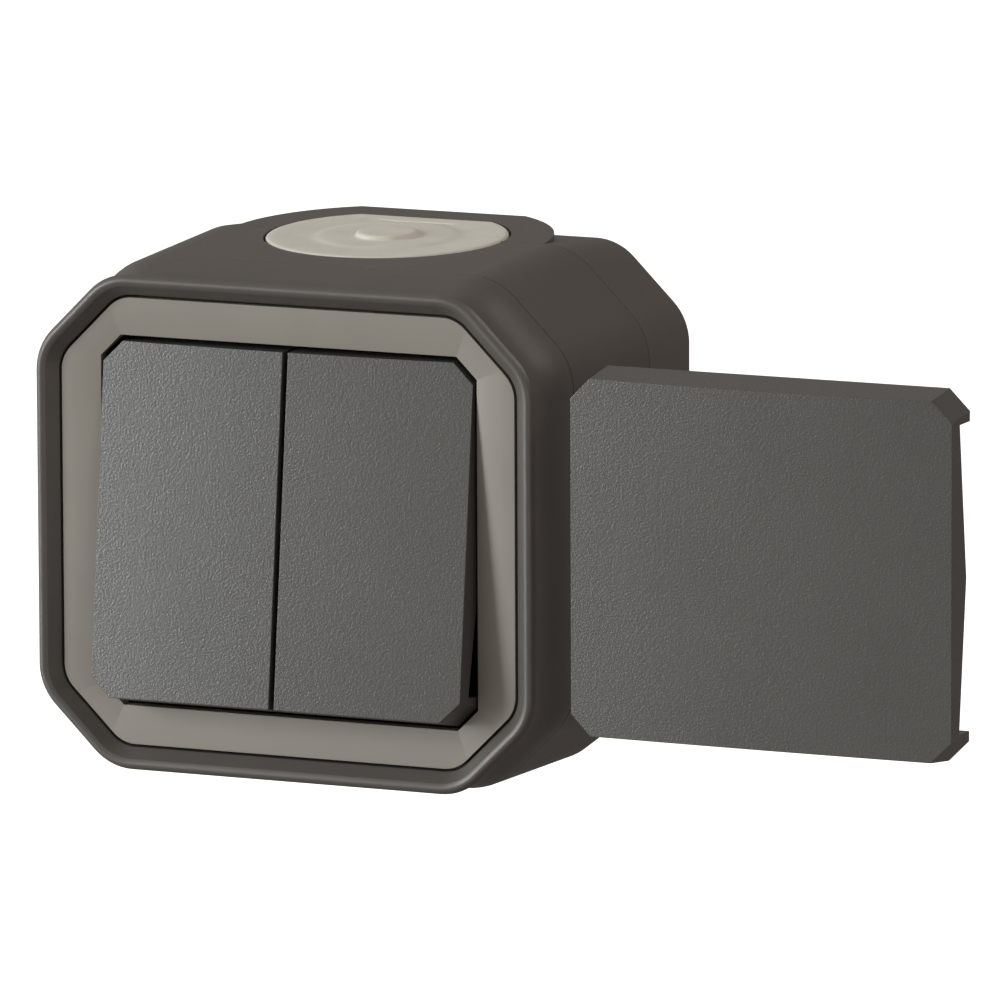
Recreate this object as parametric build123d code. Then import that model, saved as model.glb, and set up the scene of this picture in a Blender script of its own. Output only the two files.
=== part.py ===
from build123d import *
import math
import os

# Surface-mounted, weatherproof rocker switch with two rockers, and a loose one-piece rocker plate.
# Millimetres. The origin is the centre of the face that lies on the wall. The front looks towards -Y,
# +X is to the right and +Z is up. A "depth" is a distance from the wall towards the front.

# ---- body ----
RING_DEPTH = 55.4  # wall to the bezel ring's outer edge
BASE_DEPTH = 19.2  # wall to the rear parting line
COVER_D = 10.5  # front parting line to the bezel ring's outer edge
RING_W, RING_H = 70.35, 64.7  # size of the bezel ring's outline
RING_LEG = 9.1  # leg of the 45-degree corner of that outline
RING_R = 5.0  # radius of its rounded corners
BODY_T = 5.15  # how far the body stands outside the ring's outline at the rear parting line
FRONT_T = 4.3  # the same at the front parting line
WALL_T = 3.3  # the same at the wall
WAIST_T = 2.6  # the same for the hollow behind the rim's lip
LIP_T = 3.3  # the same for the lip
LIP_RISE = 1.1  # the lip stands this far in front of the ring
RIM_RISE = 1.95  # the rim's crest stands this far in front of the ring
NOSE_W = 1.6  # width of the rounded crest; a slope leads from it down to the ring
WALL = 2.2  # wall thickness of base, housing and cover
BACK = 2.5  # thickness of the plate on the wall
LINE_W, LINE_IN = 0.2, 0.5  # width and depth of the dark parting lines
GASKET_W = 1.0  # section of the two sealing strips
GASKET_IN = 0.7  # from the body's outside to a sealing strip
HOOK_W, HOOK_T, HOOK_NOSE = 14.0, 1.2, 0.8  # snap tongues of the cover, above and below
HOOK_L = 6.7  # they reach this far behind the front parting line
HOOK_CLEAR = 0.15

# ---- bezel ring and its opening ----
RING_T = 2.3  # thickness of the bezel ring
RING_GAP = 0.15  # bezel ring inside its outline, on each side
GROOVE = 0.27  # rim's inner wall outside that outline
DISH = 0.5  # how far the ring's face rolls back at the opening
BAND_X, BAND_Z = 6.1, 5.65  # width of the ring's face at the sides, and above and below
OPEN_LEG = 3.1
DECK_T = 2.2  # deck of the cover that the bezel ring lies on
DECK_MARGIN = 0.4  # the deck's opening is larger than the ring's by this much on each side

# ---- cable membrane on top ----
GLAND_FROM_LINE = 0.95  # its axis stands this far in front of the rear parting line
GLAND_FRONT = 7.1  # its flange ends this far behind the front parting line
GLAND_REAR = 5.95  # depth of the straight cut of the flange
GLAND_T = 1.2  # how deep the flange is let in
GLAND_PROUD = 0.15  # how far it stands out
GLAND_GAP = 0.15  # clearance round the flange
NECK_IN = 2.1  # the neck is smaller than the flange by this much
LIP_IN = 1.0  # the inner lip is smaller than the flange by this much
LIP_H = 1.5
CUP_IN = 5.0  # the hollow under the skin is smaller than the flange by this much
SKIN = 0.9  # thickness of the skin that the cable pierces
NIPPLE_R, NIPPLE_H = 4.5, 0.6  # raised round button that marks the middle
BOSS_MARGIN = 6.3  # boss of the base round the flange

# ---- wall fixing and screws ----
FIX_PITCH = 60.0  # distance between the two wall fixing holes
FIX_R = 2.25
SEAL_W, SEAL_T = 1.9, 1.2  # rubber washers on the wall fixing holes
SEAL_CLEAR = 0.3
PILLAR_IN_X, PILLAR_IN_Z = 5.2, 5.5  # screw pillars, inside the ring's outline
PILLAR_R = 4.2
PILLAR_RISE = 1.0  # the pillars end this far in front of the yoke's back
SCREW_R = 1.5
SCREW_CLEAR = 0.25
HEAD_R, HEAD_H = 2.7, 1.9
THREAD_BACK = 4.0  # depth that the long screws reach back to
LOOP_IN = 5.4  # earth loop terminal above the ring's lower outline
LOOP_W, LOOP_H, LOOP_D = 12.0, 7.0, 9.0

# ---- switch mechanism ----
YOKE_IN = 16.0  # ring's outer edge to the yoke's back
MECH_W, MECH_H = 44.0, 36.0
MECH_D = 22.0  # yoke's back to the mechanism's back
CHAMBER_D = 14.0  # yoke's back to the contact chambers' floors
YOKE_T = 1.2
YOKE_CLEAR = 3.7  # yoke inside the ring's outline, left and right
YOKE_H = 42.0
YOKE_BORDER = 3.0  # the yoke's window is smaller than the mechanism by this much, all round
YOKE_SCREW_IN, YOKE_SCREW_Z = 3.9, 13.0  # its screws, from its left and right edges, and up and down
YOKE_SCREW_R = 1.1
POST_IN = 1.0  # rear parting line to the rear ends of the posts for these screws
COVER_T = 2.5  # mechanism lid
GANG_X = 10.3  # the two gangs are at this distance from the centre
CHAMBER_W, CHAMBER_H = 14.6, 29.0
RIVET_R = 1.0
RIVET_IN = 2.1
PIVOT_IN = 3.0  # ring's outer edge to the rockers' axis
TILT = 6.5  # degrees that a rocker leans either way
PIN_R = 1.25
RUNNING = 0.05  # radial running clearance
HUB_R = 2.6
EAR_T = 2.0
EAR_X = 20.2  # centre of the outer ears
EAR_H = 6.4
EAR_CLEAR = 0.4  # rockers' inner walls to the ears, all round
SLIT_CLEAR = 0.1  # rubber sheet round the ears
SIDE_CLEAR = 0.8  # a carrier's hub to the ears beside it
BLADE_RISE = 4.5  # chamber's floor to the back of the level contact blade
BLADE_L, BLADE_W, BLADE_T = 23.0, 5.0, 0.8
PLUNGER_CLEAR = 0.45  # plunger's tip to the level blade
PLUNGER_R = 1.2
PLUNGER_L = 6.5
FINGER_R = 2.1
FINGER_SHORT = 4.25  # a finger ends this far in front of its plunger's tip
SPRING_L = 5.0
SPRING_WIRE = 0.2
TIP_R, TIP_T = 1.5, 0.7  # silver contact tips
TIP_Z = 9.4
CONTACT_GAP = 0.12  # what stays free between closed contacts
STRIP_W, STRIP_T = 4.0, 0.8  # contact strips
STRIP_BACK = 3.0  # mechanism's back to the ends of the strips
CAGE = 6.4  # outside width of the terminal cages
CAGE_L = 5.6
CAGE_CLEAR = 0.15
WIRE_R = 1.4
SHEET_T = 1.2  # rubber sheet behind the rockers
SHEET_IN = 2.0  # the sheet is smaller than the ring's opening by this much on each side

# ---- rocker caps ----
FACE_GAP_X, FACE_GAP_Z = 0.5, 1.4  # from the ring's opening to the level faces, on each side
FACE_RISE = 3.2  # ring's outer edge to the crown of the level faces
CAP_LEG = 3.0
CROWN_R = 450.0  # the faces are bent about a vertical axis with this radius
SKIRT = 7.5  # length of the top and bottom skirts
SIDE_SKIRT, SIDE_MID = 3.8, 6.3  # length of the side skirts at their ends and in the middle
SPREAD_X, SPREAD_Z = 0.1, 0.95  # how much the skirts open out to their free edges
CAP_T = 1.8  # face thickness
CAP_WALL = 1.4
CAP_GAP = 0.85  # between the two rockers
INNER_SKIRT = 2.6  # short wall along the gap
CLIP_X, CLIP_Z = 5.0, 9.0  # clip legs, from the middle of their cap
CLIP_W, CLIP_T = 4.0, 1.2
CLIP_CLEAR = 0.15
CLIP_OUT = 1.0  # the legs' ends stand out behind the carrier by this much
CARRIER_H, CARRIER_T = 30.0, 1.8
CARRIER_RISE = 3.4  # rockers' axis to the carriers' front faces
SPARE_GAP = 4.2  # the loose plate lies this far beside the body, to the right

# ---- worked out from the sizes above ----
COVER_BACK = RING_DEPTH - COVER_D
BODY_W, BODY_H = RING_W + 2 * BODY_T, RING_H + 2 * BODY_T
OPEN_W, OPEN_H = RING_W - 2 * BAND_X, RING_H - 2 * BAND_Z
FACE_W, FACE_H = OPEN_W - 2 * FACE_GAP_X, OPEN_H - 2 * FACE_GAP_Z
FACE_DEPTH = RING_DEPTH + FACE_RISE
SPARE_X = BODY_W / 2 + SPARE_GAP + FACE_W / 2
YOKE_BACK = RING_DEPTH - YOKE_IN
MECH_BACK = YOKE_BACK - MECH_D
FLOOR = YOKE_BACK - CHAMBER_D
LID_FRONT = YOKE_BACK + YOKE_T + COVER_T
YOKE_W = RING_W - 2 * YOKE_CLEAR
YOKE_SCREW_X = YOKE_W / 2 - YOKE_SCREW_IN
PILLAR_X, PILLAR_Z = RING_W / 2 - PILLAR_IN_X, RING_H / 2 - PILLAR_IN_Z
PILLAR_TOP = YOKE_BACK + PILLAR_RISE
POST_BACK = BASE_DEPTH + POST_IN
PIVOT_DEPTH = RING_DEPTH - PIVOT_IN
CARRIER_TOP = PIVOT_DEPTH + CARRIER_RISE
BLADE_DEPTH = FLOOR + BLADE_RISE
PLUNGER_TIP = BLADE_DEPTH + BLADE_T + PLUNGER_CLEAR
FINGER_BACK = PLUNGER_TIP + FINGER_SHORT
RIVET_X, RIVET_Z = MECH_W / 2 - RIVET_IN, MECH_H / 2 - RIVET_IN
CLOSED = BLADE_DEPTH - CONTACT_GAP - (TIP_Z + TIP_R) * math.sin(math.radians(TILT)) - TIP_T
GLAND_DEPTH = BASE_DEPTH + GLAND_FROM_LINE
GLAND_R = COVER_BACK - GLAND_FRONT - GLAND_DEPTH
GLAND_CHORD = GLAND_DEPTH - GLAND_REAR
DRAFT = (BODY_T - FRONT_T) / (COVER_BACK - BASE_DEPTH)  # the housing's sides lean in by this slope
CORNER_GAIN = 2 - math.sqrt(2)  # growth of a corner's leg per millimetre of offset
SIDES = (-1, 1)
LONG = 200.0


def at(depth):
    """Sketch plane parallel to the wall; a sketch extruded from it grows towards the front."""
    return Plane(origin=(0, -depth, 0), x_dir=(1, 0, 0), z_dir=(0, -1, 0))


def octagon(width, height, leg, radius=0.0):
    """Rectangle with its corners cut at 45 degrees, and the cuts' ends rounded."""
    a, b = width / 2, height / 2
    points = [(a, b - leg), (a - leg, b), (leg - a, b), (-a, b - leg)]
    points += [(-a, leg - b), (leg - a, -b), (a - leg, -b), (a, leg - b)]
    shape = make_face(Polyline(*points, close=True))
    return fillet(shape.vertices(), radius) if radius > 0 else shape


def outline(offset):
    """The bezel ring's outline, moved outwards by offset."""
    return octagon(
        RING_W + 2 * offset, RING_H + 2 * offset, RING_LEG + CORNER_GAIN * offset, RING_R + offset
    )


def stand_out(depth):
    """How far the body's outside stands outside the ring's outline at a depth."""
    if depth < BASE_DEPTH:
        return WALL_T + (BODY_T - WALL_T) * depth / BASE_DEPTH
    return BODY_T - DRAFT * (depth - BASE_DEPTH)


def flared(low, high, inset=0.0):
    """The body's outside between two depths, moved inwards by inset."""
    ends = [at(depth) * outline(stand_out(depth) - inset) for depth in (low, high)]
    return loft(ends, ruled=True)


def slab(sketch, low, high):
    """The sketch as a plate between two depths."""
    return extrude(at(low) * sketch, high - low)


def block(x, z, low, high, width, height):
    """Box centred on (x, z) between two depths."""
    return slab(Pos(x, z) * Rectangle(width, height), low, high)


def rod(x, z, low, high, radius):
    """Round bar along the depth, centred on (x, z)."""
    return slab(Pos(x, z) * Circle(radius), low, high)


def cross_bar(x, depth, z, radius, length):
    """Round bar along X, centred on x."""
    return Pos(x, -depth, z) * Rot(0, 90, 0) * Cylinder(radius, length)


def lean(shape, degrees, depth=PIVOT_DEPTH):
    """Turn about the axis along X at the given depth and at mid height."""
    pivot = Pos(0, -depth, 0)
    return pivot * Rot(degrees, 0, 0) * pivot.inverse() * shape


def corners(x, z):
    return [(sx * x, sz * z) for sx in SIDES for sz in SIDES]


def strip_ring(front, low, high):
    """Sealing strip just inside the body's outside at the depth of its front face."""
    outside = stand_out(front) - GASKET_IN
    return slab(outline(outside) - outline(outside - GASKET_W), low, high)


def parting_groove(depth):
    """Shallow groove all round, on the wall side of a parting line."""
    around = slab(outline(stand_out(depth) + 1) - outline(stand_out(depth) - LINE_IN), 0, LINE_W)
    return Pos(0, LINE_W - depth, 0) * around


def gland_frame():
    """Middle of the membrane's seat on the body's top, leaning with the housing's draft."""
    height = RING_H / 2 + stand_out(GLAND_DEPTH)
    return Pos(0, -GLAND_DEPTH, height) * Rot(math.degrees(math.atan(DRAFT)), 0, 0)


def gland_disc(radius, chord, low, high):
    """Disc on the membrane's axis between two heights from the seat, cut straight at the rear."""
    disc = Pos(0, 0, (low + high) / 2) * Cylinder(radius, high - low)
    return gland_frame() * (disc & Pos(0, chord - LONG / 2, 0) * Box(LONG, LONG, LONG))


def gland_cut():
    """Seat of the cable membrane: recess for the flange, hole for the neck, room for the inner lip."""
    seat = gland_disc(GLAND_R + GLAND_GAP, GLAND_CHORD + GLAND_GAP, -GLAND_T, WALL)
    hole = gland_disc(GLAND_R - NECK_IN, GLAND_CHORD - NECK_IN, -WALL - 1, 0)
    room = gland_disc(GLAND_R, GLAND_CHORD, -2 * WALL - LIP_H, -WALL)
    return seat + hole + room


def wall_base():
    body = flared(0, BASE_DEPTH) - flared(BACK, BASE_DEPTH + 1, WALL)
    boss = gland_disc(GLAND_R + BOSS_MARGIN, LONG, -2 * WALL, 0)
    body += boss & block(0, 0, 0, BASE_DEPTH, LONG, LONG)
    for x, z in corners(PILLAR_X, PILLAR_Z):
        body += rod(x, z, BACK / 2, BASE_DEPTH, PILLAR_R)
        body -= rod(x, z, THREAD_BACK, BASE_DEPTH + 1, SCREW_R)
    for side in SIDES:
        body -= rod(side * FIX_PITCH / 2, 0, -1, BACK + 1, FIX_R)
    body -= strip_ring(BASE_DEPTH, BASE_DEPTH - GASKET_W, BASE_DEPTH + 1)
    return body - parting_groove(BASE_DEPTH) - gland_cut()


def housing_body():
    body = flared(BASE_DEPTH, COVER_BACK) - flared(BASE_DEPTH, COVER_BACK, WALL)
    for x, z in corners(PILLAR_X, PILLAR_Z):
        body += rod(x, z, BASE_DEPTH, PILLAR_TOP, PILLAR_R)
        body -= rod(x, z, BASE_DEPTH - 1, PILLAR_TOP + 1, SCREW_R + SCREW_CLEAR)
    for x, z in corners(YOKE_SCREW_X, YOKE_SCREW_Z):
        web = RING_W / 2 + FRONT_T - WALL / 2 - abs(x)
        middle = math.copysign(abs(x) + web / 2, x)
        body += block(middle, z, POST_BACK, YOKE_BACK, web, 4 * YOKE_SCREW_R)
        body += rod(x, z, POST_BACK, YOKE_BACK, 2 * YOKE_SCREW_R)
        body -= rod(x, z, POST_BACK + WALL, YOKE_BACK + 1, YOKE_SCREW_R)
    for z in SIDES:
        body -= clip_tongue(z, HOOK_CLEAR)
    body -= strip_ring(COVER_BACK, COVER_BACK - GASKET_W, COVER_BACK + 1)
    return body - parting_groove(COVER_BACK) - gland_cut()


def clip_tongue(side, grow=0.0):
    """Tongue of the cover, with a nose that snaps into the housing's wall above (1) or below (-1)."""
    inner = RING_H / 2 + FRONT_T - WALL
    end, root = COVER_BACK - HOOK_L, COVER_BACK + 2 * HOOK_T
    step = end + HOOK_NOSE
    profile = [
        (inner - HOOK_T - grow, end - grow), (inner + grow, end - grow),
        (inner + HOOK_NOSE + grow, step), (inner + HOOK_NOSE + grow, step + HOOK_T + grow),
        (inner + grow, step + HOOK_T + grow), (inner + grow, root),
        (inner - HOOK_T - grow, root),
    ]
    face = make_face(Polyline(*[(-depth, side * z) for z, depth in profile], close=True))
    return extrude(Plane.YZ * face, (HOOK_W + 2 * grow) / 2, both=True)


def front_cover():
    lip, crest = RING_DEPTH + LIP_RISE, RING_DEPTH + RIM_RISE
    waist = (COVER_BACK + 3 * lip) / 4
    inner = FRONT_T - WALL
    deck = RING_DEPTH - RING_T
    flank = Spline(
        (FRONT_T, -COVER_BACK), (WAIST_T, -waist), (LIP_T, -lip), tangents=[(0, -1), (0.6, -1)]
    )
    nose = Spline(
        (LIP_T, -lip), (LIP_T - NOSE_W / 2, -crest), (LIP_T - NOSE_W, NOSE_W / 5 - crest),
        tangents=[(-0.4, -1), (-1, 0.8)],
    )
    slope = Line((LIP_T - NOSE_W, NOSE_W / 5 - crest), (GROOVE, -RING_DEPTH))
    rest = Polyline(
        (GROOVE, -RING_DEPTH), (GROOVE, -deck), (-DECK_T / 4, -deck), (-DECK_T / 4, DECK_T - deck),
        (inner, DECK_T - deck), (inner, -COVER_BACK), (FRONT_T, -COVER_BACK),
    )
    section_plane = Plane(origin=(RING_W / 2, 0, 0), x_dir=(1, 0, 0), z_dir=(0, 0, 1))
    section = section_plane * make_face(flank + nose + slope + rest)
    body = sweep(section, path=at(0) * outline(0).wire())
    body += slab(outline(0) - deck_opening(), deck - DECK_T, deck)
    for side in SIDES:
        body += clip_tongue(side)
    return body


def deck_opening():
    grow = DECK_MARGIN
    return octagon(OPEN_W + 2 * grow, OPEN_H + 2 * grow, OPEN_LEG + CORNER_GAIN * grow)


def ring_strip(away, angle):
    """Long bar under the ring's rolled face, outside one side of the opening."""
    width = BAND_X
    back, face = RING_DEPTH - RING_T, RING_DEPTH
    roll = ThreePointArc((0, DISH - face), (0.45 * width, 0.26 * DISH - face), (width, -face))
    rest = Polyline((width, -face), (2 * width, -face), (2 * width, -back), (0, -back), (0, DISH - face))
    bar = extrude(Plane.XY * make_face(roll + rest), LONG / 2, both=True)
    return Rot(0, -angle, 0) * Pos(away, 0, 0) * bar


def bezel_ring():
    across = (OPEN_W / 2 + OPEN_H / 2 - OPEN_LEG) / math.sqrt(2)
    sides = [(OPEN_W / 2, 0), (across, 45), (OPEN_H / 2, 90), (across, 135)]
    sides += [(away, angle + 180) for away, angle in sides]
    body = Part() + [ring_strip(away, angle) for away, angle in sides]
    body &= slab(outline(-RING_GAP), RING_DEPTH - RING_T, RING_DEPTH + 1)
    return body - slab(octagon(OPEN_W, OPEN_H, OPEN_LEG), 0, RING_DEPTH + 1)


def top_cable_membrane():
    body = gland_disc(GLAND_R, GLAND_CHORD, -GLAND_T, GLAND_PROUD)
    body += gland_disc(GLAND_R - NECK_IN, GLAND_CHORD - NECK_IN, -WALL, -GLAND_T)
    body += gland_disc(GLAND_R - LIP_IN, GLAND_CHORD - LIP_IN, -WALL - LIP_H, -WALL)
    body -= gland_disc(GLAND_R - CUP_IN, GLAND_CHORD - CUP_IN, -WALL - LIP_H, GLAND_PROUD - SKIN)
    return body + gland_disc(NIPPLE_R, LONG, 0, GLAND_PROUD + NIPPLE_H)


def base_gasket():
    return strip_ring(BASE_DEPTH, BASE_DEPTH - GASKET_W, BASE_DEPTH) - gland_cut()


def cover_gasket():
    return strip_ring(COVER_BACK, COVER_BACK - GASKET_W, COVER_BACK)


def wall_hole_seals():
    """Rubber washers on the inner face of the wall plate, one round each fixing hole."""
    ring = Circle(FIX_R + SEAL_CLEAR + SEAL_W) - Circle(FIX_R + SEAL_CLEAR)
    return [slab(Pos(side * FIX_PITCH / 2, 0) * ring, BACK, BACK + SEAL_T) for side in SIDES]


def screw(x, z, low, seat, radius, head_radius, head_height):
    """Pan-head screw whose head rests at the depth seat, with a cross recess."""
    body = rod(x, z, low, seat, radius) + rod(x, z, seat, seat + head_height, head_radius)
    top = seat + head_height
    for wide, high in ((1.5, 0.3), (0.3, 1.5)):
        body -= block(x, z, top - head_height / 2, top + 1, wide * head_radius, high * head_radius)
    return body


def housing_screws():
    return [
        screw(x, z, THREAD_BACK, PILLAR_TOP, SCREW_R, HEAD_R, HEAD_H)
        for x, z in corners(PILLAR_X, PILLAR_Z)
    ]


def yoke_screws():
    seat = YOKE_BACK + YOKE_T
    return [
        screw(x, z, POST_BACK + 2 * WALL, seat, YOKE_SCREW_R, 2 * YOKE_SCREW_R, 1.2)
        for x, z in corners(YOKE_SCREW_X, YOKE_SCREW_Z)
    ]


def rivet_holes(low, high):
    return [rod(x, z, low, high, RIVET_R) for x, z in corners(RIVET_X, RIVET_Z)]


def mounting_yoke():
    window = Rectangle(MECH_W - 2 * YOKE_BORDER, MECH_H - 2 * YOKE_BORDER)
    plate = slab(Rectangle(YOKE_W, YOKE_H) - window, YOKE_BACK, YOKE_BACK + YOKE_T)
    for x, z in corners(PILLAR_X, PILLAR_Z):
        plate -= rod(x, z, 0, RING_DEPTH, PILLAR_R + 0.5)
    for x, z in corners(YOKE_SCREW_X, YOKE_SCREW_Z):
        plate -= rod(x, z, 0, RING_DEPTH, YOKE_SCREW_R + 0.1)
    return plate - rivet_holes(0, RING_DEPTH)


def cage_places():
    """Terminal cages stand behind each chamber: upper contact, common, lower contact."""
    return [(side * GANG_X, step * TIP_Z) for side in SIDES for step in (1, 0, -1)]


def mechanism_base():
    body = block(0, 0, MECH_BACK, YOKE_BACK, MECH_W, MECH_H)
    for side in SIDES:
        body -= block(side * GANG_X, 0, FLOOR, YOKE_BACK + 1, CHAMBER_W, CHAMBER_H)
    pocket = CAGE + 2 * CAGE_CLEAR
    for x, z in cage_places():
        body -= block(x, z, MECH_BACK - 1, MECH_BACK + CAGE_L, pocket, pocket)
        body -= block(x, z, MECH_BACK, FLOOR + 1, STRIP_W, STRIP_T)
    return body - rivet_holes(MECH_BACK - 1, YOKE_BACK + 1)


def terminal_cages():
    """Open spring cages that grip a wire pushed in from the wall side."""
    cages = []
    for x, z in cage_places():
        cage = block(x, z, MECH_BACK, MECH_BACK + CAGE_L, CAGE, CAGE)
        cage -= rod(x, z - 1.2, MECH_BACK - 1, MECH_BACK + CAGE_L - 0.8, WIRE_R)
        cages.append(cage - block(x, z, MECH_BACK + 2, MECH_BACK + CAGE_L + 1, STRIP_W, STRIP_T))
    return cages


def contact_strip(side, step):
    """Fixed contact: leg through the chamber's floor and a foot that carries its silver tip."""
    x, z = side * GANG_X, step * TIP_Z
    foot = CLOSED - TIP_T
    leg = block(x, z, MECH_BACK + STRIP_BACK, foot, STRIP_W, STRIP_T)
    reach = 2 * TIP_R + STRIP_T
    return leg + block(x, z, foot - STRIP_T, foot, STRIP_W, reach)


def fixed_contacts(step):
    return [contact_strip(side, step) for side in SIDES]


def fixed_tips():
    return [
        rod(side * GANG_X, step * TIP_Z, CLOSED - TIP_T, CLOSED, TIP_R)
        for side in SIDES for step in SIDES
    ]


def common_terminals():
    """Posts that end in the edge which the contact blades rock on."""
    posts = []
    tip = BLADE_DEPTH - CONTACT_GAP
    for side in SIDES:
        post = block(side * GANG_X, 0, MECH_BACK + STRIP_BACK, tip, STRIP_W, STRIP_T)
        edges = post.faces().sort_by(Axis.Y)[0].edges().filter_by(Axis.X)
        posts.append(chamfer(edges, 0.45 * STRIP_T))
    return posts


def blade_pose(shape):
    return lean(shape, TILT, BLADE_DEPTH)


def contact_blade(side):
    blade = block(side * GANG_X, 0, BLADE_DEPTH, BLADE_DEPTH + BLADE_T, BLADE_W, BLADE_L)
    return blade_pose(fillet(blade.edges().filter_by(Axis.Y), 1.2))


def blade_tips(side):
    return [
        blade_pose(rod(side * GANG_X, step * TIP_Z, BLADE_DEPTH - TIP_T, BLADE_DEPTH, TIP_R))
        for step in SIDES
    ]


def mechanism_cover():
    back, front = YOKE_BACK + YOKE_T, LID_FRONT
    body = block(0, 0, back, front, MECH_W, MECH_H)
    for side in SIDES:
        body -= block(side * GANG_X, 0, back - 1, front + 1, 3 * FINGER_R, 5 * FINGER_R)
    for x in (-EAR_X, 0, EAR_X):
        body += block(x, 0, front - 0.5, PIVOT_DEPTH, EAR_T, EAR_H)
        body += cross_bar(x, PIVOT_DEPTH, 0, HUB_R, EAR_T)
    body -= cross_bar(0, PIVOT_DEPTH, 0, PIN_R, LONG)
    return body - rivet_holes(back - 1, front + 1)


def mechanism_rivets():
    return [
        rod(x, z, MECH_BACK, LID_FRONT, RIVET_R) + rod(x, z, LID_FRONT, LID_FRONT + 0.6, 1.8 * RIVET_R)
        for x, z in corners(RIVET_X, RIVET_Z)
    ]


def pivot_pin():
    return cross_bar(0, PIVOT_DEPTH, 0, PIN_R, 2 * EAR_X + EAR_T)


def actuator_seal():
    """Rubber sheet in front of the mechanism, with a collar round each finger and slits for the ears."""
    back = LID_FRONT
    outside = octagon(OPEN_W - 2 * SHEET_IN, OPEN_H - 2 * SHEET_IN, OPEN_LEG)
    sheet = slab(outside, back, back + SHEET_T)
    for side in SIDES:
        collar = Rectangle(4 * FINGER_R, 5 * FINGER_R)
        sheet += slab(Pos(side * GANG_X, 0) * collar, back, back + 2 * SHEET_T)
        hole = Rectangle(2.6 * FINGER_R, 4 * FINGER_R)
        sheet -= slab(Pos(side * GANG_X, 0) * hole, back - 1, back + 3 * SHEET_T)
    for x in (-EAR_X, 0, EAR_X):
        sheet -= block(x, 0, back - 1, back + 3 * SHEET_T, EAR_T + 2 * SLIT_CLEAR, EAR_H + 2 * SLIT_CLEAR)
    for x, z in corners(RIVET_X, RIVET_Z):
        sheet -= rod(x, z, back - 1, back + 2 * SHEET_T, 2.0 * RIVET_R)
    for x, z in corners(PILLAR_X, PILLAR_Z):
        sheet -= rod(x, z, back - 1, back + 2 * SHEET_T, PILLAR_R)
    return sheet


def clip_places():
    return corners(CLIP_X, CLIP_Z)


def carrier(side):
    """Lever on the pivot pin: plate for the cap, hub, and hollow finger for spring and plunger."""
    x = side * GANG_X
    width = EAR_X - EAR_T - 2 * SIDE_CLEAR
    body = block(x, 0, CARRIER_TOP - CARRIER_T, CARRIER_TOP, width, CARRIER_H)
    body += block(x, 0, PIVOT_DEPTH, CARRIER_TOP, width, 2 * HUB_R)
    body += cross_bar(x, PIVOT_DEPTH, 0, HUB_R, width)
    body += rod(x, 0, FINGER_BACK, PIVOT_DEPTH, FINGER_R)
    body -= rod(x, 0, FINGER_BACK - 1, PLUNGER_TIP + PLUNGER_L + SPRING_L, PLUNGER_R + RUNNING)
    body -= cross_bar(x, PIVOT_DEPTH, 0, PIN_R + RUNNING, LONG)
    for cx, cz in clip_places():
        body -= block(x + cx, cz, 0, CARRIER_TOP + 1, CLIP_W + 2 * CLIP_CLEAR, CLIP_T + 2 * CLIP_CLEAR)
    return lean(body, -TILT)


def plunger(side):
    x = side * GANG_X
    body = rod(x, 0, PLUNGER_TIP, PLUNGER_TIP + PLUNGER_L, PLUNGER_R)
    rim = body.faces().sort_by(Axis.Y)[-1].edges()
    return lean(fillet(rim, 0.9 * PLUNGER_R), -TILT)


def plunger_spring(side):
    """Compression spring between the plunger and the finger's blind end."""
    path = Helix(pitch=SPRING_L / 6, height=SPRING_L - 2 * SPRING_WIRE, radius=PLUNGER_R - 2 * SPRING_WIRE)
    wire = sweep(Plane(origin=path @ 0, z_dir=path % 0) * Circle(SPRING_WIRE), path=path)
    place = Pos(side * GANG_X, -(PLUNGER_TIP + PLUNGER_L + SPRING_WIRE), 0) * Rot(90, 0, 0)
    return lean(place * wire, -TILT)


def crowned(shape, drop):
    """Keep what lies behind the bent face, moved back by drop."""
    radius = CROWN_R - drop
    return shape & Pos(0, CROWN_R - FACE_DEPTH, 0) * Cylinder(radius, LONG)


def cap_block(inset, back):
    """Body of the full cap, smaller by inset all round, from its free edges to its face."""
    leg = CAP_LEG - CORNER_GAIN * inset
    face = octagon(FACE_W - 2 * inset, FACE_H - 2 * inset, leg)
    foot = octagon(FACE_W + 2 * SPREAD_X - 2 * inset, FACE_H + 2 * SPREAD_Z - 2 * inset, leg)
    return loft([at(back) * foot, at(FACE_DEPTH) * face], ruled=True)


def skirt_relief():
    """What is missing from the side skirts, which are longest at mid height."""
    end = FACE_H / 2 - CAP_LEG - 0.5
    back = FACE_DEPTH - SKIRT - 1
    low, mid = FACE_DEPTH - SIDE_SKIRT, FACE_DEPTH - SIDE_MID
    points = [(-back, -end), (-low, -end), (-mid, 0), (-low, end), (-back, end)]
    relief = extrude(Plane.YZ * make_face(Polyline(*points, close=True)), LONG / 2, both=True)
    middle = Box(FACE_W - 2 * CAP_WALL - 1, LONG, LONG)
    return relief - middle


def cap_shell():
    back = FACE_DEPTH - SKIRT
    shell = crowned(cap_block(0, back), 0) - crowned(cap_block(CAP_WALL, back), CAP_T)
    return shell - skirt_relief()


def cap_clips(x):
    """Clip legs on the back of a cap, which snap into a carrier's slots."""
    legs = Part()
    top = FACE_DEPTH - CAP_T / 2
    foot = CARRIER_TOP - CARRIER_T - CLIP_OUT
    for cx, cz in clip_places():
        legs += block(x + cx, cz, foot, top, CLIP_W, CLIP_T)
    return crowned(legs, CAP_T / 2)


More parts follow.
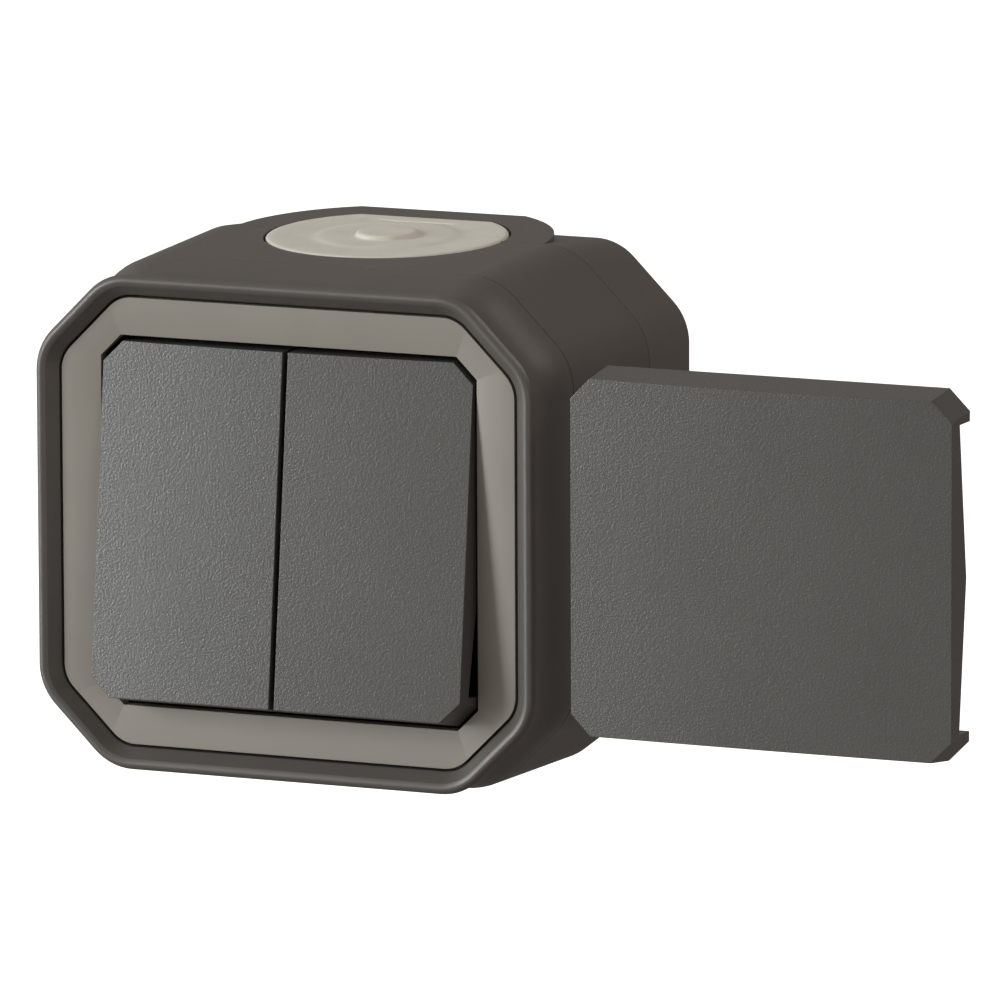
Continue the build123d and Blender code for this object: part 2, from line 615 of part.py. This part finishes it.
def rocker(side):
    half = Pos(side * (LONG + CAP_GAP) / 2, 0, 0) * Box(LONG, LONG, LONG)
    wall_x = side * (CAP_GAP + CAP_WALL) / 2
    inner = block(wall_x, 0, FACE_DEPTH - CAP_T - INNER_SKIRT, FACE_DEPTH, CAP_WALL, FACE_H - 2 * CAP_WALL)
    inner -= cross_bar(0, PIVOT_DEPTH, 0, EAR_H / 2 + EAR_CLEAR, LONG)
    body = (cap_shell() & half) + crowned(inner, CAP_T / 2) + cap_clips(side * GANG_X)
    return lean(body, -TILT)


def spare_single_rocker():
    body = cap_shell()
    for side in SIDES:
        body += cap_clips(side * GANG_X)
    return Pos(SPARE_X, 0, 0) * body


def loop_terminal():
    """Brass block for the through-going earth wire, on the wall plate below the mechanism."""
    z = LOOP_IN - RING_H / 2
    body = block(0, z, BACK, BACK + LOOP_D, LOOP_W, LOOP_H)
    body -= cross_bar(0, BACK + LOOP_D / 2, z, WIRE_R + SCREW_CLEAR, LONG)
    return body - rod(0, z, BACK + LOOP_D / 2, BACK + LOOP_D + 1, SCREW_R)


def loop_screw():
    low = BACK + LOOP_D / 2 + WIRE_R + SCREW_CLEAR
    return screw(0, LOOP_IN - RING_H / 2, low, BACK + LOOP_D, SCREW_R, HEAD_R, 1.2)


NODES = {
    "wall_base": wall_base(),
    "housing_body": housing_body(),
    "front_cover": front_cover(),
    "bezel_ring": bezel_ring(),
    "top_cable_membrane": top_cable_membrane(),
    "base_gasket": base_gasket(),
    "cover_gasket": cover_gasket(),
    "wall_hole_seals": wall_hole_seals(),
    "housing_screws": housing_screws(),
    "mounting_yoke": mounting_yoke(),
    "yoke_screws": yoke_screws(),
    "mechanism_base": mechanism_base(),
    "mechanism_cover": mechanism_cover(),
    "mechanism_rivets": mechanism_rivets(),
    "terminal_cages": terminal_cages(),
    "common_terminals": common_terminals(),
    "upper_contacts": fixed_contacts(1),
    "lower_contacts": fixed_contacts(-1),
    "fixed_contact_tips": fixed_tips(),
    "pivot_pin": pivot_pin(),
    "actuator_seal": actuator_seal(),
    "loop_terminal": loop_terminal(),
    "loop_screw": loop_screw(),
    "spare_single_rocker": spare_single_rocker(),
}
for gang, side in (("left", -1), ("right", 1)):
    NODES["rocker_" + gang] = rocker(side)
    NODES["carrier_" + gang] = carrier(side)
    NODES["plunger_" + gang] = plunger(side)
    NODES["plunger_spring_" + gang] = plunger_spring(side)
    NODES["contact_blade_" + gang] = contact_blade(side)
    NODES["blade_tips_" + gang] = blade_tips(side)

os.makedirs("parts", exist_ok=True)
for name, shape in NODES.items():
    solids = shape if isinstance(shape, list) else shape.solids()
    export_step(Compound(children=[s for item in solids for s in item.solids()]), f"parts/{name}.step")
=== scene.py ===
import math

import bpy
import numpy as np
from mathutils import Matrix, Vector


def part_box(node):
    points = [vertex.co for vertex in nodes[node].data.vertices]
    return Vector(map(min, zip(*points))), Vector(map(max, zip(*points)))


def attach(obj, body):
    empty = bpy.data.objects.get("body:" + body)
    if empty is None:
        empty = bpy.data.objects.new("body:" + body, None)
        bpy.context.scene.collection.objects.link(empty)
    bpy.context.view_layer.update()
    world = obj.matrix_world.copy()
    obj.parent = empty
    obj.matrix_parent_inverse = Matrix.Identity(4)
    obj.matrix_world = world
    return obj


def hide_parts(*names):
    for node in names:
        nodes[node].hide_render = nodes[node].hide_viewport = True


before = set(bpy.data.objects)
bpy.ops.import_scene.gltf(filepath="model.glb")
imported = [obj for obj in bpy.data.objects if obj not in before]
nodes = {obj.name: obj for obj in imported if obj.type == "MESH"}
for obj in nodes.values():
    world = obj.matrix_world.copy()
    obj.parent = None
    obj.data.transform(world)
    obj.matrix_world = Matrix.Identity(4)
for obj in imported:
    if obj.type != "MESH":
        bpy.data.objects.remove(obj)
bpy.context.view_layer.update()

# ---- Camera ----
# The switch is seen from its right and a little from above. The distance is long, so the
# front and the rear outline look almost the same size.
MM = 0.001
AZIMUTH, ELEVATION = math.radians(23.5), math.radians(9.96)
DISTANCE = 1.8
VIEW_WIDTH = 1000 / 7.078 * MM
MIDDLE_RIGHT, MIDDLE_UP = 30.05 * MM, 4.62 * MM
ROLL = -0.004
ring_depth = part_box("bezel_ring")[0][1]

back = Vector((
    math.sin(AZIMUTH) * math.cos(ELEVATION),
    -math.cos(AZIMUTH) * math.cos(ELEVATION),
    math.sin(ELEVATION),
))
level = Vector((math.cos(AZIMUTH), math.sin(AZIMUTH), 0.0))
right = level * math.cos(ROLL) + back.cross(level) * math.sin(ROLL)
up = back.cross(right)
camera = bpy.data.objects.new("camera", bpy.data.cameras.new("camera"))
bpy.context.scene.collection.objects.link(camera)
camera.matrix_world = Matrix.Translation(
    Vector((0, ring_depth, 0)) + right * MIDDLE_RIGHT + up * MIDDLE_UP + back * DISTANCE
) @ Matrix((right, up, back)).transposed().to_4x4()
camera.data.lens = camera.data.sensor_width * DISTANCE / VIEW_WIDTH
camera.data.clip_end = 20.0
bpy.context.scene.camera = camera


# ---- Wall base ----
# The rear box that is screwed to the wall, with the raised boss for the cable membrane. It is
# moulded in weather-proof anthracite plastic in one piece.
def srgb(code):
    """Linear colour of an sRGB hex value: c/12.92 below 0.04045, else ((c + 0.055)/1.055)^2.4."""
    parts = [int(code[i:i + 2], 16) / 255 for i in (1, 3, 5)]
    linear = [c / 12.92 if c <= 0.04045 else ((c + 0.055) / 1.055) ** 2.4 for c in parts]
    return (*linear, 1.0)


def add(tree, kind, settings=(), links=()):
    """Add a node to a tree with its settings, socket values and incoming links."""
    node = tree.nodes.new(kind)
    for name, value in dict(settings).items():
        if isinstance(name, str) and hasattr(node, name):
            setattr(node, name, value)
        else:
            node.inputs[name].default_value = value
    for socket, source in dict(links).items():
        tree.links.new(source, node.inputs[socket])
    return node


def start_material(name):
    """Empty material, with the object's own coordinates in metres as its first node."""
    material = bpy.data.materials.new(name)
    material.use_nodes = True
    tree = material.node_tree
    tree.nodes.clear()
    return material, tree, add(tree, "ShaderNodeTexCoord").outputs["Object"]


def two_tones(tree, factor, low, high, start=0.3, end=0.7):
    """Ramp from one colour to another where the pattern runs from start to end."""
    ramp = add(tree, "ShaderNodeValToRGB", {}, {"Fac": factor})
    ramp.color_ramp.elements[0].position, ramp.color_ramp.elements[1].position = start, end
    ramp.color_ramp.elements[0].color, ramp.color_ramp.elements[1].color = low, high
    return ramp.outputs["Color"]


def grey(value):
    """Opaque grey of one linear value."""
    return (value, value, value, 1.0)


CLOUD_SIZE = 14 * MM


def moulded_plastic(name, dark, light, rough, grain, relief, edge, ior=1.5):
    """Moulded plastic: a spark-eroded grain of one size, soft cloudiness, and edges of a small
    radius. Sizes are in millimetres: a noise of scale 1/size gives bumps of that size."""
    material, tree, place = start_material(name)
    cloud = add(tree, "ShaderNodeTexNoise",
                {"Scale": 1 / CLOUD_SIZE, "Detail": 3.0}, {"Vector": place})
    pits = add(tree, "ShaderNodeTexNoise",
               {"Scale": 1 / (grain * MM), "Detail": 2.0, "Roughness": 0.6}, {"Vector": place})
    rounded = add(tree, "ShaderNodeBevel", {"samples": 4, "Radius": edge * MM})
    bump = add(tree, "ShaderNodeBump", {"Strength": 1.0, "Distance": relief * MM},
               {"Height": pits.outputs["Fac"], "Normal": rounded.outputs["Normal"]})
    shader = add(tree, "ShaderNodeBsdfPrincipled", {"IOR": ior}, {
        "Base Color": two_tones(tree, cloud.outputs["Fac"], srgb(dark), srgb(light)),
        "Roughness": two_tones(tree, pits.outputs["Fac"], grey(rough - 0.04), grey(rough + 0.04)),
        "Normal": bump.outputs["Normal"],
    })
    add(tree, "ShaderNodeOutputMaterial", {}, {"Surface": shader.outputs["BSDF"]})
    return material


def cover_nodes(material, names):
    """Give CAD nodes one material."""
    for name in names:
        nodes[name].data.materials.clear()
        nodes[name].data.materials.append(material)


# ASA, moulded in an eroded tool: an even, slightly warm dark grey with a soft satin sheen.
asa_body = moulded_plastic(
    "asa_eroded_anthracite", "#45413e", "#484441", rough=0.46, grain=0.3, relief=0.012, edge=0.06,
)
cover_nodes(asa_body, ["wall_base"])

# ---- Wall fixing seals and base gasket ----
# Rubber washers round the two fixing holes, and a square cord of the same rubber in a groove
# along the parting line. They are moulded and only lie in their seats.
def moulded_rubber(name, dark, light, rough, size, relief, edge=0.15):
    """Matt rubber: mottled by a noise of the given size in millimetres, with a soft sheen."""
    material, tree, place = start_material(name)
    mottle = add(tree, "ShaderNodeTexNoise",
                 {"Scale": 1 / (size * MM), "Detail": 4.0}, {"Vector": place}).outputs["Fac"]
    rounded = add(tree, "ShaderNodeBevel", {"samples": 4, "Radius": edge * MM})
    bump = add(tree, "ShaderNodeBump", {"Strength": 1.0, "Distance": relief * MM},
               {"Height": mottle, "Normal": rounded.outputs["Normal"]})
    sheen = {"IOR": 1.52, "Sheen Weight": 0.1, "Sheen Roughness": 0.6}
    shader = add(tree, "ShaderNodeBsdfPrincipled", sheen, {
        "Base Color": two_tones(tree, mottle, srgb(dark), srgb(light)),
        "Roughness": two_tones(tree, mottle, grey(rough - 0.05), grey(rough + 0.05)),
        "Normal": bump.outputs["Normal"],
    })
    add(tree, "ShaderNodeOutputMaterial", {}, {"Surface": shader.outputs["BSDF"]})
    return material


# EPDM, compression moulded: nearly black, dull, with a fine talc mottle.
epdm = moulded_rubber(
    "epdm_moulded_black", "#171615", "#201f1e", rough=0.72, size=0.6, relief=0.01,
)
cover_nodes(epdm, ["wall_hole_seals", "base_gasket"])

# ---- Parting-line lips ----
# Each gasket has a thin black lip that fills the groove along its parting line almost flush.
# It is moulded in one piece with the gasket. Its near-black is partly painted shade: the lip is
# coloured darker than its rubber, to stand in for the shade inside the narrow groove.
GASKET_IN = 0.7 * MM
# Round the lip's section: distance below the sides, and distance behind the line's front edge.
LIP_SECTION = np.array([
    (0.5, 0.19), (0.5, 0.01), (0.07, 0.01), (0.05, 0.03), (0.05, 0.17), (0.07, 0.19), (0.5, 0.19),
]) * MM
CORNER_LEG, CORNER_R = 9.1 * MM, 5.0 * MM
RING_EDGE = 0.15 * MM
ring_low, ring_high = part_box("bezel_ring")
HALF_W = (ring_high[0] - ring_low[0]) / 2 + RING_EDGE
HALF_H = (ring_high[2] - ring_low[2]) / 2 + RING_EDGE


def corner_outline(per_corner=14):
    """Rectangle with cut and rounded corners, as points and outward normals. Each corner is an
    arc from one side's normal to the next, 45 degrees on; its middle is where the two sides,
    moved in by the radius, cross."""
    across = (HALF_W + HALF_H - CORNER_LEG) / math.sqrt(2)
    away = np.array([HALF_W, across, HALF_H, across] * 2) - CORNER_R
    turn = np.arange(8) * np.pi / 4
    after, following = turn + np.pi / 4, np.roll(away, -1)
    middle = np.stack([
        away * np.sin(after) - following * np.sin(turn),
        following * np.cos(turn) - away * np.cos(after),
    ], axis=-1) / math.sin(math.pi / 4)
    angle = (turn[:, None] + np.linspace(0, np.pi / 4, per_corner)).ravel()
    normals = np.stack([np.cos(angle), np.sin(angle)], axis=-1)
    return np.repeat(middle, per_corner, axis=0) + CORNER_R * normals, normals


def carried_profile(out, depth):
    """A profile of (distance outside the outline, depth from the wall) carried round the
    outline: point = outline + distance * normal, at y = -depth."""
    path, normals = corner_outline()
    flat = path[None] + np.array(out)[:, None, None] * normals[None]
    y = np.broadcast_to(-np.array(depth)[:, None], flat.shape[:2])
    return np.stack([flat[..., 0], y, flat[..., 1]], axis=-1)


def grid_mesh(name, points):
    """Mesh of a grid of points [rows, columns, 3] whose rows are closed loops."""
    rows, columns = points.shape[:2]
    index = np.arange(rows * columns).reshape(rows, columns)
    after = np.roll(index, -1, axis=1)
    quads = np.stack([index[:-1], index[1:], after[1:], after[:-1]], axis=-1)
    mesh = bpy.data.meshes.new(name)
    mesh.from_pydata(points.reshape(-1, 3).tolist(), [], quads.reshape(-1, 4).tolist())
    mesh.polygons.foreach_set("use_smooth", np.ones(len(mesh.polygons), dtype=bool))
    thing = bpy.data.objects.new(name, mesh)
    bpy.context.scene.collection.objects.link(thing)
    weld = thing.modifiers.new("weld", "WELD")
    weld.merge_threshold = 1e-6
    return thing


# EPDM again, matt, and coloured darker than the gasket's own rubber: the near-black is painted
# shade of the narrow groove, so that the line shows as a dark hairline.
epdm_lip_painted_shade = moulded_rubber(
    "epdm_lip_painted_groove_shade", "#040404", "#080808", rough=0.92, size=0.6, relief=0.002,
)
# The lips are dark strips in the grooves: their colour is painted shade of the grooves.
for name, gasket in (("rear_line_lip_painted_shade", "base_gasket"), ("front_line_lip_painted_shade", "cover_gasket")):
    low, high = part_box(gasket)
    outside = (high[0] - low[0]) / 2 + GASKET_IN - HALF_W
    line = -low[1]
    below, behind = LIP_SECTION.T
    lip = grid_mesh(name, carried_profile(outside - below, line - behind))
    lip.data.materials.append(epdm_lip_painted_shade)
    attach(lip, "switch_body")

# ---- Earth loop terminal ----
# A sawn brass block on the wall plate, with a cross hole for the through-going wire and a
# zinc-plated clamping screw.
STREAK_LENGTH = 20


def drawn_metal(name, dark, light, rough, streak, along, relief, edge=0.1):
    """Metal with fine drawing or rolling streaks: a noise of streak millimetres across them and
    STREAK_LENGTH times as long on the axis with the index along."""
    material, tree, place = start_material(name)
    scale = [1 / (streak * MM)] * 3
    scale[along] /= STREAK_LENGTH
    mapping = add(tree, "ShaderNodeMapping", {"Scale": scale}, {"Vector": place})
    lines = add(tree, "ShaderNodeTexNoise",
                {"Scale": 1.0, "Detail": 3.0}, {"Vector": mapping.outputs["Vector"]})
    rounded = add(tree, "ShaderNodeBevel", {"samples": 4, "Radius": edge * MM})
    bump = add(tree, "ShaderNodeBump", {"Strength": 1.0, "Distance": relief * MM},
               {"Height": lines.outputs["Fac"], "Normal": rounded.outputs["Normal"]})
    shader = add(tree, "ShaderNodeBsdfPrincipled", {"Metallic": 1.0}, {
        "Base Color": two_tones(tree, lines.outputs["Fac"], srgb(dark), srgb(light)),
        "Roughness": two_tones(tree, lines.outputs["Fac"], grey(rough - 0.06), grey(rough + 0.08)),
        "Normal": bump.outputs["Normal"],
    })
    add(tree, "ShaderNodeOutputMaterial", {}, {"Surface": shader.outputs["BSDF"]})
    return material


# Brass, drawn or rolled and then sawn or stamped: warm yellow with faint streaks.
brass = drawn_metal(
    "brass_drawn", "#c9a25a", "#dcb96f", rough=0.28, streak=0.25, along=0, relief=0.004,
)
cover_nodes(brass, ["loop_terminal"])


def plated_steel(name, dark, light, rough, cell, grain, relief, edge):
    """Zinc-plated steel: cells of one size in millimetres, each a little lighter or darker, and
    a much finer grain."""
    material, tree, place = start_material(name)
    cells = add(tree, "ShaderNodeTexVoronoi", {"Scale": 1 / (cell * MM)}, {"Vector": place})
    fine = add(tree, "ShaderNodeTexNoise",
               {"Scale": 1 / (grain * MM), "Detail": 2.0}, {"Vector": place}).outputs["Fac"]
    rounded = add(tree, "ShaderNodeBevel", {"samples": 4, "Radius": edge * MM})
    bump = add(tree, "ShaderNodeBump", {"Strength": 1.0, "Distance": relief * MM},
               {"Height": fine, "Normal": rounded.outputs["Normal"]})
    shader = add(tree, "ShaderNodeBsdfPrincipled", {"Metallic": 1.0}, {
        "Base Color": two_tones(tree, cells.outputs["Color"], srgb(dark), srgb(light), 0.0, 1.0),
        "Roughness": two_tones(tree, fine, grey(rough - 0.05), grey(rough + 0.05)),
        "Normal": bump.outputs["Normal"],
    })
    add(tree, "ShaderNodeOutputMaterial", {}, {"Surface": shader.outputs["BSDF"]})
    return material


# Steel, cold headed or stamped and zinc plated: a silvery, slightly bluish film with a faint
# cell pattern.
zinc = plated_steel(
    "steel_zinc_plated", "#a9abae", "#c4c5c3",
    rough=0.34, cell=0.8, grain=0.15, relief=0.003, edge=0.08,
)
cover_nodes(zinc, ["loop_screw"])

# ---- Housing and its screws ----
# The middle section carries the mechanism on four posts. Four long self-cutting screws pull it
# onto the wall base; its sides lean in a little towards the front.
cover_nodes(asa_body, ["housing_body"])
cover_nodes(zinc, ["housing_screws"])

# ---- Cable membrane ----
# Round entry seal in pale grey elastomer, pushed into its seat in the top from outside. The
# button in its middle marks where the cable is pierced through.
SIDE_LEAN, SIDE_LENGTH = 0.85, 25.7
GLAND_LEAN = math.atan(SIDE_LEAN / SIDE_LENGTH)
CHORD = 14.2 * MM
BUTTON_R, BUTTON_RISE = 4.5 * MM, 0.75 * MM
membrane_low, membrane_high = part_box("top_cable_membrane")
FLANGE_R = (membrane_high[0] - membrane_low[0]) / 2
gland_y = membrane_low[1] + FLANGE_R * math.cos(GLAND_LEAN)
gland_z = membrane_high[2] - BUTTON_RISE * math.cos(GLAND_LEAN) - BUTTON_R * math.sin(GLAND_LEAN)


def membrane_points(columns=240):
    """Disc with a straight cut: the edge lies at the smaller of the radius and chord/sin(angle).
    The inner rows are circles (radius, height), and the outer rows keep a distance to the edge,
    so the strip between them turns from round to cut. The rim of the face stands 0.22 mm in from
    its seat, and below it the flange and the sealing groove fill the seat."""
    round_rows = [
        (0.0, 0.70), (2.0, 0.715), (3.6, 0.71), (4.05, 0.69), (4.32, 0.6), (4.45, 0.45), (4.5, 0.2),
        (4.62, 0.06), (4.9, 0.03), (5.6, 0.07), (7.0, 0.12), (9.2, 0.14), (9.9, 0.12), (10.4, 0.03),
        (10.9, -0.02), (11.6, 0.0),
    ]
    edge_rows = [
        (4.6, 0.04), (3.0, 0.1), (1.4, 0.14), (0.67, 0.14), (0.4, 0.09), (0.26, -0.05),
        (0.22, -0.25), (0.22, -0.95), (0.0, -1.05), (0.0, -1.19), (0.05, -1.2), (2.1, -1.2),
        (2.1, -2.2), (1.0, -2.2), (1.0, -3.5), (1.2, -3.7), (4.8, -3.7), (5.0, -3.5), (5.0, -0.8),
        (5.2, -0.75),
    ]
    angle = np.linspace(0, 2 * np.pi, columns, endpoint=False)
    edge = np.minimum(FLANGE_R / MM, CHORD / MM / np.maximum(np.sin(angle), 1e-6))
    rings = [(np.full(columns, radius), height) for radius, height in round_rows]
    rings += [(edge - inset, height) for inset, height in edge_rows]
    rings += [(np.zeros(columns), -0.75)]
    radius = np.stack([ring[0] for ring in rings]) * MM
    height = np.array([ring[1] for ring in rings])[:, None] * MM + 0 * radius
    y, z = radius * np.sin(angle), height
    lean_cos, lean_sin = math.cos(GLAND_LEAN), math.sin(GLAND_LEAN)
    return np.stack([
        radius * np.cos(angle),
        gland_y + y * lean_cos - z * lean_sin,
        gland_z + y * lean_sin + z * lean_cos,
    ], axis=-1)


# TPE, injection moulded: pale warm grey, matt, with a faint cloudy flow pattern.
tpe = moulded_rubber(
    "tpe_moulded_pale_grey", "#aeaba0", "#b5b2a8", rough=0.62, size=3.0, relief=0.02,
)
membrane = grid_mesh("cable_membrane_skin", membrane_points())
membrane.data.materials.append(tpe)
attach(membrane, "switch_body")
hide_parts("top_cable_membrane")
cover_nodes(tpe, ["top_cable_membrane"])

# ---- Mechanism ----
# A plated steel yoke screwed to the housing's posts holds the insulating block. Its lid is held
# by four rivets, and has the three ears for the pin that both carriers swing on.
cover_nodes(zinc, ["mounting_yoke", "yoke_screws", "pivot_pin"])
cover_nodes(brass, ["mechanism_rivets"])
# Glass-filled polyamide, moulded: off-white, satin, with a fine fibre grain.
polyamide = moulded_plastic(
    "pa66_glass_filled", "#c9c8bf", "#d6d5cd",
    rough=0.5, grain=0.45, relief=0.012, edge=0.15, ior=1.53,
)
cover_nodes(polyamide, ["mechanism_base", "mechanism_cover"])

# ---- Contacts and terminals ----
# Stamped brass strips stand in the block and end in silver tips; the wires are held in brass
# spring cages at the back. The two blades rock on the middle posts.
cover_nodes(brass, [
    "terminal_cages", "common_terminals", "upper_contacts", "lower_contacts",
    "contact_blade_left", "contact_blade_right",
])
# Silver, cold headed into the strips: whitish metal with a light satin face.
silver = drawn_metal(
    "silver_headed", "#cfcfd0", "#e2e2e1", rough=0.24, streak=0.2, along=2, relief=0.002,
)
cover_nodes(silver, ["fixed_contact_tips", "blade_tips_left", "blade_tips_right"])

# ---- Carriers, plungers and springs ----
# Each carrier is a lever on the pivot pin with a hollow finger behind it; a coil spring in the
# finger presses the plunger onto the contact blade.
cover_nodes(polyamide, ["carrier_left", "carrier_right"])
# Acetal, turned from rod: clean white, smooth and slightly glossy.
acetal = moulded_plastic(
    "pom_turned_white", "#e0ded6", "#e8e6df",
    rough=0.3, grain=0.2, relief=0.004, edge=0.1, ior=1.48,
)
cover_nodes(acetal, ["plunger_left", "plunger_right"])
# Spring steel wire, drawn and plated: darker than the zinc, with fine streaks along the wire.
wire = drawn_metal(
    "spring_steel_drawn", "#97989a", "#b4b5b6", rough=0.3, streak=0.1, along=1, relief=0.002,
)
cover_nodes(wire, ["plunger_spring_left", "plunger_spring_right"])

# ---- Rubber sheet and cover gasket ----
# The sheet keeps water out of the mechanism behind the rockers; the gasket lies in the housing's
# front groove.
cover_nodes(epdm, ["actuator_seal", "cover_gasket"])

# ---- Front cover ----
# The front section snaps onto the housing with two tongues. Its rim flares out to a rounded
# crest and slopes in to the bezel ring.
cover_nodes(asa_body, ["front_cover"])

# ---- Bezel ring ----
# A separate trim ring in a warmer, lighter grey, pressed into the rim; its face rolls back a
# little towards the octagonal opening.
# ASA, moulded in a fine-blasted tool: smooth satin with hardly any grain.
asa_ring = moulded_plastic(
    "asa_blasted_warm_grey", "#736e67", "#77726b", rough=0.44, grain=0.22, relief=0.005, edge=0.12,
)
cover_nodes(asa_ring, ["bezel_ring"])

# ---- Rockers and the loose plate ----
# Two caps snap onto the carriers. The loose plate has the outline of the pair and can take
# their place on both carriers.
# ASA, moulded in a coarser eroded tool: mid grey with a grain that shows. The real grain of
# about 0.1 mm is drawn at 0.34 mm, so that it shows.
asa_rocker = moulded_plastic(
    "asa_eroded_rocker_grey", "#41403e", "#444341", rough=0.38, grain=0.34, relief=0.06, edge=0.18,
)
cover_nodes(asa_rocker, ["rocker_left", "rocker_right", "spare_single_rocker"])

# ---- Floor, surroundings and lights ----
# A white floor well below the switch and an even studio. Soft lights stand mainly at the front
# left, with weaker ones on the right and above.
FLOOR_Z, FLOOR_SIZE = -0.25, 8.0
corners = np.array([(-1, -1, 0), (1, -1, 0), (1, 1, 0), (-1, 1, 0)]) * FLOOR_SIZE / 2
floor_mesh = bpy.data.meshes.new("floor")
floor_mesh.from_pydata((corners + (0, 0, FLOOR_Z)).tolist(), [], [(0, 1, 2, 3)])
floor = bpy.data.objects.new("floor", floor_mesh)
bpy.context.scene.collection.objects.link(floor)
paper, tree, place = start_material("paper_white_matt")
fibre = add(tree, "ShaderNodeTexNoise", {"Scale": 1 / (2 * MM), "Detail": 2.0}, {"Vector": place})
glow = {"Roughness": 0.95, "Emission Color": srgb("#ffffff"), "Emission Strength": 0.8}
shader = add(tree, "ShaderNodeBsdfPrincipled", glow, {
    "Base Color": two_tones(tree, fibre.outputs["Fac"], srgb("#f7f7f6"), srgb("#fafaf9")),
})
add(tree, "ShaderNodeOutputMaterial", {}, {"Surface": shader.outputs["BSDF"]})
floor_mesh.materials.append(paper)
floor.visible_diffuse = floor.visible_glossy = False

world = bpy.data.worlds.new("studio")
bpy.context.scene.world = world
world.use_nodes = True
tree = world.node_tree
tree.nodes.clear()
# The room is brighter towards the front, the left and above than behind and below.
BRIGHT_SIDE = (-0.66, -0.68, 0.32)
around = add(tree, "ShaderNodeTexCoord")
facing = add(tree, "ShaderNodeVectorMath",
             {"operation": "DOT_PRODUCT", 1: BRIGHT_SIDE}, {0: around.outputs["Generated"]})
share = add(tree, "ShaderNodeMapRange",
            {"From Min": -1.0, "From Max": 1.0}, {"Value": facing.outputs["Value"]})
room = two_tones(tree, share.outputs["Result"], srgb("#7d7671"), srgb("#c6c2be"), 0.2, 0.95)
seen = add(tree, "ShaderNodeBackground", {"Color": grey(1.0), "Strength": 1.05})
lit = add(tree, "ShaderNodeBackground", {"Strength": 1.0}, {"Color": room})
path = add(tree, "ShaderNodeLightPath")
both = add(tree, "ShaderNodeMixShader", {}, {
    0: path.outputs["Is Camera Ray"], 1: lit.outputs[0], 2: seen.outputs[0],
})
add(tree, "ShaderNodeOutputWorld", {}, {"Surface": both.outputs[0]})
bpy.context.scene.view_settings.view_transform = "Standard"


AIM = Vector((0.02, ring_depth, 0))


def softbox(name, centre, width, height, power, colour="#ffffff"):
    """Rectangular soft light that faces AIM, a point in the front of the switch."""
    light = bpy.data.lights.new(name, "AREA")
    light.shape = "RECTANGLE"
    light.size, light.size_y = width, height
    light.energy = power
    light.color = srgb(colour)[:3]
    lamp = bpy.data.objects.new(name, light)
    bpy.context.scene.collection.objects.link(lamp)
    turned = (AIM - Vector(centre)).to_track_quat("-Z", "Y").to_matrix().to_4x4()
    lamp.matrix_world = Matrix.Translation(centre) @ turned


softbox("left_box", (-1.25, -1.05, 0.42), 0.5, 0.8, 25, "#fbfffe")
softbox("strip_box", (-1.2, -1.1, -0.1), 0.3, 1.0, 10, "#fbfffe")
softbox("far_left_box", (-1.6, -0.1, 0.1), 0.5, 0.8, 3, "#fffaf6")
softbox("front_box", (0.2, -1.6, 0.8), 0.9, 0.6, 1)
softbox("right_box", (1.3, -1.1, -0.1), 0.6, 0.9, 5, "#fff4ea")
softbox("upper_right_box", (1.0, 0.1, 1.1), 0.7, 0.7, 8, "#fff8f2")
